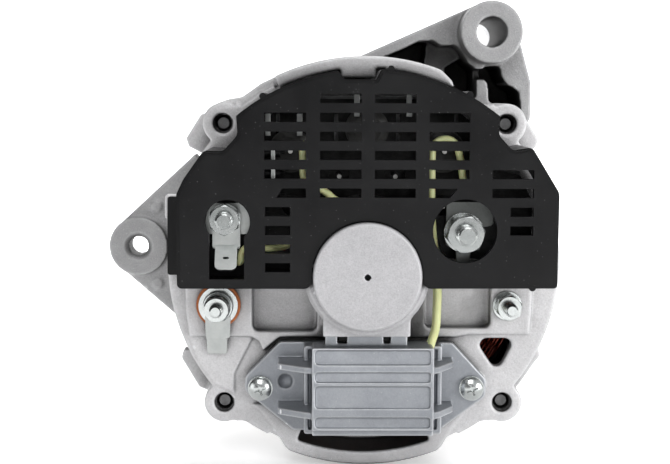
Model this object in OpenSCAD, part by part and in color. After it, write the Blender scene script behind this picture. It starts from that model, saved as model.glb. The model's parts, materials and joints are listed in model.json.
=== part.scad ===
// Automotive alternator with an external fan, seen as an assembly of its real pieces.
// Local frame used below: x to the right, y up, z towards the slip-ring (rear) end.
// z = 0 is the plane of the four rear through-bolt lugs. place() turns it into the
// part's frame: rotor axis along Y, belt plane at Y = 0, rear end towards -Y, Z up.
// All lengths are millimetres.

/* [Housing] */
// Radius of the rear bracket at its deck
body_r = 60.2; // [60:0.1:60.6]
// Half spacing of the four through bolts
bolt_xy = 43.13; // [43:0.01:43.3]
// Radius of the through-bolt lugs
lug_r = 6.2; // [5.8:0.1:6.6]
// Height of the raised plateau on the deck
plateau_h = 2.5; // [2.2:0.1:2.6]

/* [Mounting] */
// Diameter of the pivot bore
pivot_d = 10.2; // [10:0.1:11]
// Outside diameter of the pivot boss
pivot_boss_d = 21; // [20:0.5:22]
// Core diameter of the tapped adjuster hole
adjuster_d = 6.8; // [6.6:0.1:7.4]
// Outside diameter of the adjuster boss
adjuster_boss_d = 20.4; // [19:0.2:21]

/* [Electrical end] */
// Height of the plastic cover's face
cover_z = 27; // [26.6:0.1:27.2]
// Diameter of the main output stud
output_stud_d = 6; // [5:0.5:6]
// Diameter of the exciter stud
exciter_stud_d = 5; // [4:0.5:5]

/* [Drive end] */
// Radius of the cooling fan
fan_r = 58; // [54:1:60]
// Number of fan blades
fan_blades = 12; // [10:1:14]
// Outside radius of the pulley
pulley_r = 36; // [34:0.5:37]
// Width of the V groove at the rim
groove_w = 13; // [12:0.5:13.5]

/* [Rotor] */
// Number of claws on each pole piece
claws = 6; // [6:1:6]
// Radius of the rotor
rotor_r = 41.65; // [41.4:0.05:41.75]

/* [Hidden] */
$fn = 96;

belt_z = -128;            // belt plane in the local frame
bolt_z = -3.4;            // ends of the through bolts
stat_z0 = -58;            // front face of the stator stack
stat_z1 = -26;            // rear face of the stator stack
stat_ro = 57.8;
stat_ri = 42;
pivot_x = 44.2;
pivot_y = 73;
ear_x = -76.9;
ear_y = -1.2;

function unit(v) = v / norm(v);
function cross2(a, b) = a[0] * b[1] - a[1] * b[0];
function corner(a, b, c, r, n) = r <= 0 ? [b] :
  let(u = unit(a - b), v = unit(c - b), w = acos(u * v), d = r / tan(w / 2),
      m = b + unit(u + v) * (r / sin(w / 2)),
      p = b + u * d - m, q = b + v * d - m,
      a0 = atan2(p[1], p[0]), a1 = atan2(q[1], q[0]), da = (a1 - a0 + 540) % 360 - 180)
  [for (i = [0:n]) m + r * [cos(a0 + da * i / n), sin(a0 + da * i / n)]];
function rounded(p, r, n = 5) = let(k = len(p))
  [for (i = [0:k - 1]) each corner(p[(i + k - 1) % k], p[i], p[(i + 1) % k], is_list(r) ? r[i] : r, n)];
function inset(p, d) = let(k = len(p)) [for (i = [0:k - 1])
  let(e0 = unit(p[i] - p[(i + k - 1) % k]), e1 = unit(p[(i + 1) % k] - p[i]),
      n0 = [-e0[1], e0[0]], n1 = [-e1[1], e1[0]]) p[i] + d * (n0 + n1) / (1 + n0 * n1)];
function arc(r, a0, a1, n) = [for (i = [0:n]) r * [cos(a0 + (a1 - a0) * i / n), sin(a0 + (a1 - a0) * i / n)]];

module place() translate([0, belt_z, 0]) rotate([90, 0, 0]) children();
module ring(ro, ri, z0, z1) translate([0, 0, z0]) difference() {
  cylinder(h = z1 - z0, r = ro);
  translate([0, 0, -1]) cylinder(h = z1 - z0 + 2, r = ri);
}
module cyl(x, y, r, z0, z1) translate([x, y, z0]) cylinder(h = z1 - z0, r = r);
module blk(x0, x1, y0, y1, z0, z1) translate([x0, y0, z0]) cube([x1 - x0, y1 - y0, z1 - z0]);
module plate(p, z0, z1) translate([0, 0, z0]) linear_extrude(height = z1 - z0) polygon(p);
module sector(ro, ri, a0, a1, z0, z1) rotate([0, 0, a0]) rotate_extrude(angle = a1 - a0)
  translate([ri, z0]) square([ro - ri, z1 - z0]);
module at_bolts(s = 1) for (x = [-1, 1], y = [-1, 1]) translate([x * bolt_xy * s, y * bolt_xy * s, 0]) children();
module hexnut(af, h, bore) difference() {
  intersection() {
    cylinder(h = h, r = af / 2 / cos(30), $fn = 6);
    union() {
      cylinder(h = h * 0.18, r1 = af * 0.5, r2 = af * 0.578);
      translate([0, 0, h * 0.18]) cylinder(h = h * 0.64, r = af * 0.578);
      translate([0, 0, h * 0.82]) cylinder(h = h * 0.18, r1 = af * 0.578, r2 = af * 0.5);
    }
  }
  translate([0, 0, -1]) cylinder(h = h + 2, r = bore);
}
// a round lead swept along points; eight-sided in section
module sweep(p, r, n = 8) {
  k = len(p);
  t = [for (i = [0:k - 1]) unit(p[min(i + 1, k - 1)] - p[max(i - 1, 0)])];
  rings = [for (i = [0:k - 1]) let(s = abs(t[i][2]) > 0.93 ? [0, 1, 0] : [0, 0, 1],
    u = unit(cross(t[i], s)), v = cross(u, t[i])) [for (j = [0:n - 1]) p[i] + r * (u * cos(360 * j / n) + v * sin(360 * j / n))]];
  polyhedron(points = [for (a = rings) each a],
    faces = concat([[for (j = [0:n - 1]) j]],
      [for (i = [0:k - 2], j = [0:n - 1]) [i * n + j, (i + 1) * n + j, (i + 1) * n + (j + 1) % n, i * n + (j + 1) % n]],
      [[for (j = [n - 1:-1:0]) (k - 1) * n + j]]));
}
// Catmull-Rom points through hand-placed stations
function cr(a, b, c, d, t) = 0.5 * ((2 * b) + (c - a) * t + (2 * a - 5 * b + 4 * c - d) * t * t + (3 * b - a - 3 * c + d) * t * t * t);
function smooth(p, m = 4) = let(k = len(p)) concat([for (i = [0:k - 2], j = [0:m - 1])
  cr(p[max(i - 1, 0)], p[i], p[i + 1], p[min(i + 2, k - 1)], j / m)], [p[k - 1]]);

// ---------- cast rear bracket ----------
// raised plateau that carries the cover and the terminals
plateau = [[-55, 4], [-54.6, -14], [-53.6, -21.9], [-34.7, -22], [-32.2, -23.4], [-31, -26.4], [-26, -22.2],
  [28, -22.2], [31.9, -21.4], [51, -21.2], [51.6, -10], [52, 4]];
recess = [[-38.3, -34], [-25.6, -22.9], [27, -22.9], [38.6, -34.8], [38.4, -41.5], [24.4, -51.6], [-22.6, -51.6], [-37.6, -42]];
vent = [[34.2, -22.9], [47.1, -22.9], [41.4, -33.8]];

module rear_housing() color([0.74, 0.73, 0.75]) place() difference() {
  union() {
    ring(body_r, 56, stat_z1, 0);
    translate([0, 0, -4]) cylinder(h = 4, r = 58);
    at_bolts() translate([0, 0, stat_z1]) cylinder(h = -stat_z1, r = lug_r);
    // webs that tie the lugs into the wall
    for (s = [-1, 1], q = [-1, 1]) plate([[s * 36, q * 48], [s * 47.5, q * 38.8], [s * 49, q * 41], [s * 39, q * 49.2]], stat_z1, 0);
    for (s = [-1, 1]) plate([[s * 44, -49], [s * 39.1, -48.9], [s * 36.6, -49.3], [s * 33.8, -51.1], [s * 29.7, -53.4], [s * 28, -50], [s * 36, -44], [s * 44, -44]], stat_z1 + 12, -0.5);
    // clamping feet beside the lugs
    for (s = [-1, 1]) plate([[s * 46, 30.6], [s * 55.4, 35.2], [s * 56.3, 37.8], [s * 51.4, 45.6], [s * 44, 47]], stat_z1, -20);
    plate([[-47, -29.4], [-57.6, -30.6], [-58.4, -33], [-52.6, -42.8], [-44, -46]], stat_z1, -20);
    plate([[47, -27.6], [54.9, -26.9], [55.5, -29.2], [53.4, -31.8], [49, -38.4], [44, -42]], stat_z1, -4);
    // raised rim over the cover and the deeper rim under the slotted opening
    plate(concat([[26.2, 54.4], [25.5, 56.2], [24, 57.7]], arc(63.4, 69.5, 115.5, 18), arc(59.9, 115.5, 65.2, 18)), -12, 8);
    blk(-7.5, 2.7, 56.9, 61, 0, 8);
    plate([[-47.6, 47], [-44.6, 49.3], [-41.5, 50.4], [-37.3, 51.1], [-34.3, 53.2], [-31.4, 55.3], [-26.4, 57.6], [-24.6, 54], [-33, 48.8], [-42, 44]], -11, -1);
    plate([[-44.6, 47.6], [-38, 48.2], [-34.9, 50.2], [-32.5, 51.9], [-27.6, 54.6], [-26.6, 52], [-36, 46], [-42, 44]], -11, 0.2);
    plate(concat([[-34.5, -43.7], [-31.4, -46.3], [-27.4, -51.6], [-24.6, -56.8]], arc(62.7, 248.4, 291.6, 16), [[24.6, -56.8], [27.4, -51.6], [31.4, -46.3], [34.5, -43.7], [30, -43], [-30, -43]]), 0, 0.8);
    plate(concat([[-24.6, -56.6]], arc(62.7, 248.4, 291.6, 16), [[24.6, -56.6], [20, -52], [-20, -52]]), -14, 0.4);
    blk(-61.2, -57, 13.8, 21, -9, -2);
    // plateau, hub and the block under the bearing cap
    plate(plateau, 0, plateau_h);
    cylinder(h = 24, r = 17.5);
    translate([0, 0, -8]) cylinder(h = 9, r = 17.5);
    translate([0, 0, 24]) cylinder(h = 5, r = 15.7);
    translate([0, 0, 29]) cylinder(h = 0.5, r1 = 15.7, r2 = 15.2);
    translate([0, 0, 22.2]) cylinder(h = 1.5, r1 = 18.6, r2 = 17.1);
    blk(-12.7, 12.8, -18.3, 0, -3, 23.4);
    // posts under the rectifier plate
    for (x = [-47.6, 47.6]) cyl(x, 4.2, 3, -3, 4.15);
    cyl(0, 47.5, 2.8, -3, 4.15);
    // bosses under the regulator screws
    for (x = [-31.8, 33]) cyl(x, -37.6, 4.6, -9, 0.9);
    // raised frame left of the regulator
    plate([[-54, -22], [-34, -22], [-40, -34], [-40, -40], [-46, -37], [-50.5, -31]], 0, 0.8);
  }
  // bearing seat, slip-ring chamber and cap hollow
  translate([0, 0, -9]) cylinder(h = 24.3, r = 13.5);
  translate([0, 0, 15]) cylinder(h = 9, r = 13.02);
  translate([0, 0, 23.9]) cylinder(h = 3.4, r = 9.5);
  cyl(0, 0, 0.9, 26, 31);
  // way in for the brush holder
  blk(-5.9, 5.9, -44, -9, -6, 14.4);
  translate([0, 0, 1]) linear_extrude(height = 6) polygon(rounded(recess, 2.5));
  // pockets beside the bearing hub
  difference() {
    union() {
      plate(rounded([[18.5, -19.3], [38.8, -19.3], [38.8, 2], [18.5, 2]], 1.8), -2, 4);
      plate(rounded([[-34.2, -20.4], [-14.4, -20.4], [-14.4, 2], [-34.2, 2]], 1.8), -2, 4);
    }
    translate([0, 0, -3]) cylinder(h = 8, r = 17.8);
  }
  // vents
  plate(rounded(vent, 2.1), -5, 4);
  intersection() {
    sector(58.6, 40, 249.5, 290.5, -15, 1);
    blk(-30, 30, -60, -47, -15, 1);
  }
  for (a = [[10, 34], [46, 84], [96, 134], [146, 170]]) sector(49, 23, a[0], a[1], -5, 5);
  // spaces for the insulated phase stud and the earth stud
  cyl(-44.5, -12.1, 3.4, -6, 4);
  cyl(43.8, -12.2, 2.05, -6, 4);
  // tapped through-bolt holes, open at the rear
  at_bolts() { cyl(0, 0, 2.5, stat_z1 - 1, 1); cyl(0, 0, 3.05, -2.6, 1); }
  for (x = [-31.8, 33]) cyl(x, -37.6, 2.0, -8, 4);
}

// ---------- cast drive-end bracket ----------
web = [[-9, 60], [-4, 63.2], [40.1, 82.7], [48, 84], [54.9, 72], [59.4, 56], [59.4, 44], [54, 34], [42, 42], [20, 57]];
module drive_end_bracket() color([0.66, 0.66, 0.67]) place() difference() {
  union() {
    ring(body_r, 55.6, -87, stat_z0);
    translate([0, 0, -87]) cylinder(h = 5, r = 58);
    at_bolts() translate([0, 0, -87]) cylinder(h = 29, r = lug_r);
    translate([0, 0, -98]) cylinder(h = 16.5, r = 28.5);
    translate([0, 0, -92]) cylinder(h = 6, r1 = 29.5, r2 = 33);
    // pivot boss and its hollow bracket
    cyl(pivot_x, pivot_y, pivot_boss_d / 2, -105, -45);
    plate(web, -87, -56);
    // adjuster ear
    cyl(ear_x, ear_y, adjuster_boss_d / 2, -69.5, -58);
    plate(rounded([[-85.2, 4.9], [-57, 31], [-48, 20], [-48, -22], [-57, -32], [-85.2, -7.3]], [5, 0, 0, 0, 0, 5]), -68.5, -59.5);
    cyl(-70.6, 12.8, 1.9, -60, -58.8);
    cyl(-70.6, -14.5, 1.9, -60, -58.8);
  }
  // inside of the wall
  translate([0, 0, -82]) cylinder(h = 30, r = 55.6);
  // pockets between the body and the pivot boss
  difference() {
    plate(rounded([[3, 62.6], [14.2, 67.2], [20.4, 70.2], [25.2, 70.6], [28.2, 68.7], [32.9, 69.1], [35.1, 67], [37.6, 62.8], [40.4, 60.6], [40.5, 50.4], [28, 54.6], [14, 60.4]], 0.9), -84, -50);
    plate([[22.5, 55], [24.5, 74], [36, 74], [37, 65], [31, 61.6], [30, 50]], -86, -71);
  }
  plate(rounded([[42.7, 61.7], [48.2, 61.9], [49.2, 58.1], [51.1, 55.4], [53.2, 54.5], [55.1, 53], [55.9, 47.5], [56.1, 40.8], [50.2, 47.2], [44.8, 49.7], [44.4, 55.7], [42.8, 57.8]], 0.8), -84, -50);
  // the rib between the pockets stands lower beside the boss
  plate([[39.6, 57.4], [39.8, 60.7], [43.4, 60.9], [45, 57.2]], -68, -50);
  cyl(bolt_xy, bolt_xy, 2.75, -90, -50);
  // bearing seat and the retainer recess
  translate([0, 0, -83]) cylinder(h = 3, r = 30.9);
  translate([0, 0, -97]) cylinder(h = 18, r = 23.52);
  translate([0, 0, -99]) cylinder(h = 6, r = 20);
  // air windows in the face
  for (i = [0:5]) rotate([0, 0, 60 * i]) plate(rounded([[32.5, -11], [50.5, -17], [53, -9], [53, 9], [50.5, 17], [32.5, 11]], 2.2), -90, -80);
  // bolt holes with flat seats
  at_bolts() cyl(0, 0, 2.75, -90, -50);
  for (a = [30, 150, 270]) rotate([0, 0, a]) cyl(27.2, 0, 1.65, -90, -80);
  // pivot bore and the tapped adjuster hole
  cyl(pivot_x, pivot_y, pivot_d / 2, -110, -40);
  cyl(pivot_x, pivot_y, 7.02, -106, -92);
  cyl(ear_x, ear_y, adjuster_d / 2, -72, -55);
  translate([ear_x, ear_y, -59.6]) cylinder(h = 1.61, r1 = adjuster_d / 2, r2 = 4.8);
}
module pivot_sleeve() color([0.75, 0.75, 0.78]) place() translate([pivot_x, pivot_y, 0]) ring(7, pivot_d / 2, -106.5, -92);

// ---------- stator ----------
module stator_core() color([0.32, 0.31, 0.31]) place() translate([0, 0, stat_z0]) linear_extrude(height = stat_z1 - stat_z0) difference() {
  circle(r = stat_ro);
  circle(r = stat_ri);
  for (i = [0:35]) rotate([0, 0, 10 * i + 5]) {
    translate([stat_ri + 1.6, -2]) square([10.4, 4]);
    translate([stat_ri - 1, -1.1]) square([3, 2.2]);
  }
  for (i = [0:7]) rotate([0, 0, 45 * i + 22.5]) translate([stat_ro, 0]) circle(r = 1.2);
}
module end_turns(z0, z1) rotate_extrude() polygon(rounded([[44.5, z0], [53.2, z0], [54, z1], [45.4, z1]], 1.9));
module stator_winding() color([0.55, 0.27, 0.15]) place() {
  end_turns(stat_z1 + 0.3, stat_z1 + 11.5);
  mirror([0, 0, 1]) end_turns(-stat_z0 + 0.3, -stat_z0 + 11.5);
  for (i = [0:35]) rotate([0, 0, 10 * i + 5]) blk(stat_ri + 1.9, stat_ri + 11.7, -1.7, 1.7, stat_z0 - 2.6, stat_z1 + 2.6);
}
module through_bolts() color([0.5, 0.5, 0.52]) place() at_bolts() {
  translate([0, 0, -87]) cylinder(h = 87 + bolt_z - 0.6, r = 2.46);
  translate([0, 0, bolt_z - 0.6]) cylinder(h = 0.6, r1 = 2.46, r2 = 1.9);
  difference() {
    translate([0, 0, -91]) cylinder(h = 4, r = 8 / 2 / cos(30), $fn = 6);
    translate([0, 0, -91.1]) cylinder(h = 1.1, r = 2.9);
  }
  translate([0, 0, -88]) cylinder(h = 1, r = 5);
}

// ---------- plastic rear cover ----------
// corner points as x, y and corner radius, anticlockwise
rim_r = 59.3;
cover_low = [[-54.8, -3.8, 1.4], [-17.3, -3.8, 2], [-14.4, -0.6, 0], [14.4, -0.8, 0], [17.6, -3.7, 1.4], [54.9, -3.6, 1.1],
  [55, 24, 4], [46.9, 37.2, 2], [41.3, 36.2, 2], [37.3, 40.6, 2.6], [37.6, 45.9, 0]];
cover_top = [[3.6, 59.2, 1.1], [2.2, 56.2, 0.7], [-6.7, 56.2, 0.7], [-8.6, 58.7, 1.2]];
cover_left = [[-37.6, 45.8, 0], [-37.2, 40.4, 2.6], [-41.3, 35.8, 2.4], [-46.9, 36, 2.4], [-52.8, 27.6, 3], [-54.8, 23.4, 2.4]];
right_arc = [for (p = arc(rim_r, 53, 84, 7)) [p[0], p[1], 0]];
left_arc = [for (p = arc(rim_r, 101, 127, 6)) [p[0], p[1], 0]];
cover_pts = concat(cover_low, right_arc, cover_top, left_arc, cover_left);
function outline(d) = let(p = [for (q = cover_pts) [q[0], q[1]]], k = len(p),
  r = [for (i = [0:k - 1]) let(t = cross2(p[i] - p[(i + k - 1) % k], p[(i + 1) % k] - p[i]))
    cover_pts[i][2] == 0 ? 0 : t > 0 ? max(0.1, cover_pts[i][2] - d) : cover_pts[i][2] + d]) rounded(inset(p, d), r);
slot_h = 2.65;
slot_y0 = 50.85;
slot_pitch = 5.37;
module slot(x0, x1, k) blk(x0, x1, slot_y0 - slot_pitch * k - slot_h / 2, slot_y0 - slot_pitch * k + slot_h / 2, 20, 30);
module rear_cover() color([0.13, 0.13, 0.14]) place() difference() {
  union() {
    plate(outline(0), 3, cover_z - 1.4);
    plate(outline(0.45), cover_z - 1.4, cover_z - 0.6);
    plate(outline(1.1), cover_z - 0.6, cover_z);
    for (p = [[-30, 51.4], [6.4, 59.2], [28.9, 52], [47.7, -3.4]]) cyl(p[0], p[1], 1, 8.5, cover_z - 1.2);
    plate(rounded([[-59.6, -2.4], [-54, -2.4], [-54, 21.3], [-59.4, 21.3]], 0.8), 3, 6.5);
  }
  plate(outline(2), 2, cover_z - 2);
  // the lower wall stops short so that the leads can pass
  blk(-53, 53, -6, -1, 0, 13);
  blk(-50, 50, 50, 64, 0, 8.6);
  translate([0, 0, 2]) cylinder(h = 30, r = 16.05);
  translate([0, 0, 2]) cylinder(h = 22.6, r = 18.9);
  blk(-14, 14, -6, -0.4, 0, cover_z - 2.4);
  for (k = [1:4]) slot(-29.6, -17.7, k);
  for (k = [0:5]) { slot(-13.7, -1.9, k); slot(1.9, 13.6, k); }
  for (k = [1:4]) slot(17.4, 28.9, k);
  for (k = [4:5]) slot(35.5, 47.4, k);
  for (k = [6:7]) slot(40.8, 47.4, k);
  for (k = [6:9]) slot(-29.4, -22.2, k);
  plate([[-26.2, 22.6], [-17.7, 22.6], [-17.7, 25.3], [-24.4, 25.3]], 20, 30);
  plate([[17.4, 22.6], [23.4, 22.6], [25.6, 25.3], [17.4, 25.3]], 20, 30);
  // windows over the two terminals
  blk(-45.4, -35.4, -0.9, 15, 20, 30);
  cyl(-40.1, 15.6, 6.4, 20, 30);
  cyl(27.9, 13.1, 9.2, 20, 30);
}

// ---------- rectifier ----------
crescent = [[-50, 1.5], [-50, 21], [-46, 29.5], [-40.5, 30.5], [-34.5, 36], [-34, 42.5], [-27, 47.5], [-15, 51.5], [15, 51.5], [27, 47.5],
  [34, 42.5], [34.5, 36], [40.5, 30.5], [46, 29.5], [50, 21], [50, 1.5], [21, 1.5], [18, 11], [11, 18.5], [0, 21.5], [-11, 18.5], [-18, 11], [-21, 1.5]];
pos_xy = [for (a = [58, 90, 122]) 42 * [cos(a), sin(a)]];
neg_xy = [for (a = [42, 74, 106, 138]) 29.5 * [cos(a), sin(a)]];
module negative_heatsink() color([0.5, 0.5, 0.52]) place() difference() {
  plate(rounded(crescent, 1.2), 4.2, 6.2);
  for (p = neg_xy) cyl(p[0], p[1], 5.5, 2, 8);
  for (p = pos_xy) cyl(p[0], p[1], 7.2, 2, 8);
  cyl(28, 12.3, 5.2, 2, 8);
  cyl(-41, 16.2, 4.4, 2, 8);
}
module positive_heatsink() color([0.24, 0.24, 0.26]) place() difference() {
  plate(rounded([[-30.2, 18], [-30.2, 38.8], [-33, 42], [-27, 46.8], [-15, 50.6], [15, 50.6], [27, 46.8], [33, 42], [33.4, 36], [39, 30], [45, 28.6],
    [48.6, 21], [48.6, 4], [23.6, 4], [20, 11.6], [12, 20.4], [0, 23.6], [-12, 20.4], [-18, 15.6]], 1.2), 14.6, 17);
  for (p = neg_xy) cyl(p[0], p[1], 3, 12, 18);
  for (p = pos_xy) cyl(p[0], p[1], 6.37, 12, 18);
  cyl(28, 12.3, output_stud_d / 2 + 0.05, 12, 18);
  for (x = [-26, -9, 9, 26]) blk(x - 0.6, x + 0.6, 36, 46.4, 12, 18);
}
module diode(r, h, w) {
  cylinder(h = h, r = r);
  translate([0, 0, h]) cylinder(h = 0.8, r1 = r - 0.4, r2 = r - 2.2);
  translate([0, 0, h + 0.8]) cylinder(h = w, r = 0.65);
}
module positive_diodes() color([0.7, 0.69, 0.66]) place() for (p = pos_xy) translate([p[0], p[1], 11.6]) diode(6.35, 6.4, 2.6);
module negative_diodes() color([0.68, 0.67, 0.64]) place() for (p = neg_xy) translate([p[0], p[1], 2.6]) diode(5.48, 5, 12.4);
module exciter_diodes() color([0.1, 0.1, 0.1]) place() for (y = [23.4, 29.4, 35.4]) {
  translate([-31.6, y, 21.2]) rotate([0, 90, 0]) cylinder(h = 6.4, r = 1.7);
  translate([-33.4, y, 21.2]) rotate([0, 90, 0]) cylinder(h = 9.6, r = 0.5);
}
// tinned tags that join each pair of diodes to a phase
module phase_terminals() color([0.78, 0.77, 0.74]) place() {
  for (p = [[-3.1, 46], [12, 46], [-19.6, 40.4], [-28.8, 40.4]]) {
    blk(p[0] - 0.8, p[0] + 0.8, p[1] - 0.4, p[1] + 6, 19.4, 20.2);
    blk(p[0] - 0.8, p[0] + 0.8, p[1] + 5.2, p[1] + 6, 17.3, 19.6);
  }
  // strip that joins the exciter diodes
  blk(-32.6, -26.6, 36.3, 37.3, 23.2, 23.8);
  blk(-27.8, -26.6, 26.5, 36.4, 23.2, 23.8);
  blk(-32.6, -31.8, 36.3, 37.3, 19.4, 23.3);
}
module terminal_block() color([0.11, 0.11, 0.12]) place() difference() {
  union() {
    plate(rounded([[-46, 6], [-34.2, 6], [-34.2, 0.5], [-22.6, 0.5], [-22.6, 38], [-34, 38], [-34, 27], [-46, 27]], 1.2), 11, 13.6);
    // floor under the exciter tab
    plate(rounded([[-46.9, -4.2], [-33.6, -4.2], [-33.6, 8], [-46.9, 8]], 1), 6.5, 11.1);
    plate(rounded([[-34.4, -2.2], [-21.6, -2.2], [-21.6, 1.4], [-34.4, 1.4]], 0.6), 6.5, 12.6);
    plate(rounded([[-33.2, 20.6], [-30.6, 20.6], [-30.6, 38], [-33.2, 38]], 0.8), 13.5, 19.3);
    cyl(-41, 16.2, 5.4, 8, 19.8);
  }
  cyl(-41, 16.2, exciter_stud_d / 2 + 0.05, 2, 30);
  for (p = neg_xy) cyl(p[0], p[1], 3, 10, 18);
  for (p = pos_xy) cyl(p[0], p[1], 6.8, 10, 15);
}
module rectifier_insulators() color([0.45, 0.2, 0.12]) place() {
  translate([28, 12.3, 0]) ring(4, output_stud_d / 2 - 0.3, 4, 14.4);
  for (p = [[45.5, 10], [0, 26.5]]) translate([p[0], p[1], 0]) ring(2.8, 1.2, 6.4, 14.4);
}
module output_stud() color([0.8, 0.8, 0.78]) place() translate([28, 12.3, 0]) {
  translate([0, 0, 29.4]) cylinder(h = 3.2, r = output_stud_d / 2);
  translate([0, 0, 32.6]) cylinder(h = 0.8, r1 = output_stud_d / 2, r2 = output_stud_d / 2 - 0.7);
  translate([0, 0, 3.4]) cylinder(h = 26.2, r = output_stud_d / 2 - 0.35);
  intersection() { translate([0, 0, 1.6]) cylinder(h = 2.2, r = 4.2, $fn = 6); cylinder(h = 5, r = 4); }
}
module output_nut() color([0.82, 0.82, 0.8]) place() translate([28, 12.3, 24.1]) rotate([0, 0, 12]) hexnut(10, 5.2, output_stud_d / 2 - 0.32);
module output_washers() color([0.8, 0.8, 0.79]) place() translate([28, 12.3, 0]) {
  ring(5.8, 3.1, 21.4, 22.7);
  difference() { ring(5.1, 3.1, 22.8, 24); blk(3, 6, -0.35, 0.35, 22, 25); }
}
module output_bus() color([0.62, 0.62, 0.62]) place() difference() {
  union() {
    plate(rounded([[22.9, 8.2], [25.8, 7], [26.1, 2], [29.9, 2], [30.2, 7], [32.9, 8.2], [33.2, 13.6], [36.8, 14.2], [36.6, 21.2], [22.9, 21.2]],
      [1.5, 0, 0.6, 0.6, 0, 1.2, 0.6, 1.2, 1.2, 1.2]), 20, 21.3);
    translate([28, 12.3, 17.1]) cylinder(h = 2.9, r = 4.6);
  }
  cyl(28, 12.3, output_stud_d / 2 + 0.05, 16, 22);
}
module exciter_stud() color([0.8, 0.8, 0.78]) place() translate([-41, 16.2, 0]) {
  translate([0, 0, 28.3]) cylinder(h = 2.5, r = exciter_stud_d / 2);
  translate([0, 0, 30.8]) cylinder(h = 0.7, r1 = exciter_stud_d / 2, r2 = exciter_stud_d / 2 - 0.6);
  translate([0, 0, 7.6]) cylinder(h = 20.9, r = exciter_stud_d / 2 - 0.35);
  translate([0, 0, 6.4]) cylinder(h = 1.5, r = 4);
}
module exciter_nut() color([0.82, 0.82, 0.8]) place() translate([-41, 16.2, 23.2]) rotate([0, 0, 30]) {
  difference() { cylinder(h = 0.9, r = 4.5); translate([0, 0, -1]) cylinder(h = 3, r = exciter_stud_d / 2 - 0.32); }
  translate([0, 0, 0.9]) hexnut(8, 4.1, exciter_stud_d / 2 - 0.32);
}
module exciter_terminal() color([0.8, 0.79, 0.76]) place() difference() {
  union() {
    plate(rounded([[-46.9, 11.6], [-33.8, 11.6], [-33.8, 19.7], [-36.4, 20.6], [-45, 20.6], [-46.9, 19.7]], 0.9), 20, 21.2);
    plate(rounded([[-44.7, 7.6], [-36.7, 7.6], [-36.7, 18], [-44.7, 18]], 0.6), 21.2, 23.1);
    // the flat tab leans outwards
    translate([-40.7, 9.4, 22.2]) rotate([-32, 0, 0]) translate([0, 0, -0.4]) difference() {
      linear_extrude(height = 0.8) polygon(rounded([[-4, 0.6], [-4, -1.6], [-3.15, -2.1], [-3.15, -9], [3.15, -9], [3.15, -2.1], [4, -1.6], [4, 0.6]], [0, 0.3, 0.3, 1.6, 1.6, 0.3, 0.3, 0]));
      translate([0, -5.3, -1]) linear_extrude(height = 3) polygon(rounded([[-0.85, -0.35], [0.85, -0.35], [0.85, 0.35], [-0.85, 0.35]], 0.33));
    }
  }
  cyl(-41, 16.2, exciter_stud_d / 2 + 0.05, 18, 24);
}

// ---------- lower terminals ----------
module phase_stud() color([0.78, 0.78, 0.76]) place() translate([-44.5, -12.1, 0]) {
  translate([0, 0, -5.8]) cylinder(h = 19.6, r = 1.65);
  translate([0, 0, 13.7]) cylinder(h = 2.7, r = 2);
  translate([0, 0, 16.4]) cylinder(h = 0.6, r1 = 2, r2 = 1.5);
  translate([0, 0, -8]) cylinder(h = 2.4, r = 3.6);
  // collar that holds the terminal plate down
  translate([0, 0, 5.85]) cylinder(h = 1, r = 4.6);
  translate([0, 0, 6.8]) cylinder(h = 3.3, r1 = 4.1, r2 = 3.6);
}
module terminal_nuts() color([0.82, 0.82, 0.8]) place() {
  translate([-44.5, -12.1, 10.2]) rotate([0, 0, 8]) hexnut(7, 3.3, 1.68);
  translate([43.8, -12.2, 5.4]) rotate([0, 0, 22]) hexnut(7, 3.3, 1.68);
}
module phase_terminal_plate() color([0.68, 0.68, 0.67]) place() difference() {
  union() {
    plate(rounded([[-48.3, -21.8], [-40.9, -21.8], [-40.6, -10], [-41.6, -8.4], [-47.4, -8.4], [-48.4, -10]], 0.6), 5.02, 5.8);
    plate(rounded([[-48, -27.1], [-42, -27.1], [-41.8, -21.4], [-48.2, -21.4]], [0.5, 0.5, 0, 0]), 2.6, 3.4);
    blk(-48.1, -41.9, -22.3, -21.5, 2.6, 5.8);
  }
  cyl(-44.5, -12.1, 2.06, 0, 8);
}
module fibre_washer() color([0.55, 0.26, 0.12]) place() translate([-44.5, -12.1, 0]) {
  ring(6.75, 2.06, plateau_h + 0.02, 4.2);
  ring(3.3, 2.06, -3, plateau_h + 0.1);
}
module ground_stud() color([0.78, 0.78, 0.76]) place() translate([43.8, -12.2, 0]) {
  translate([0, 0, -3.8]) cylinder(h = 12.8, r = 1.65);
  translate([0, 0, 8.9]) cylinder(h = 4.2, r = 2);
  translate([0, 0, 13.1]) cylinder(h = 0.6, r1 = 2, r2 = 1.5);
}
module terminal_washers() color([0.8, 0.8, 0.79]) place() translate([43.8, -12.2, 0]) {
  translate([-88.3, 0.1, 0]) ring(6, 2.1, 4.26, 4.96);
  ring(4.5, 2.1, plateau_h + 0.02, 3.5);
  difference() { ring(3.7, 2.1, 3.6, 5.3); blk(1.6, 5, -0.3, 0.3, 3, 6); }
}

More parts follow.
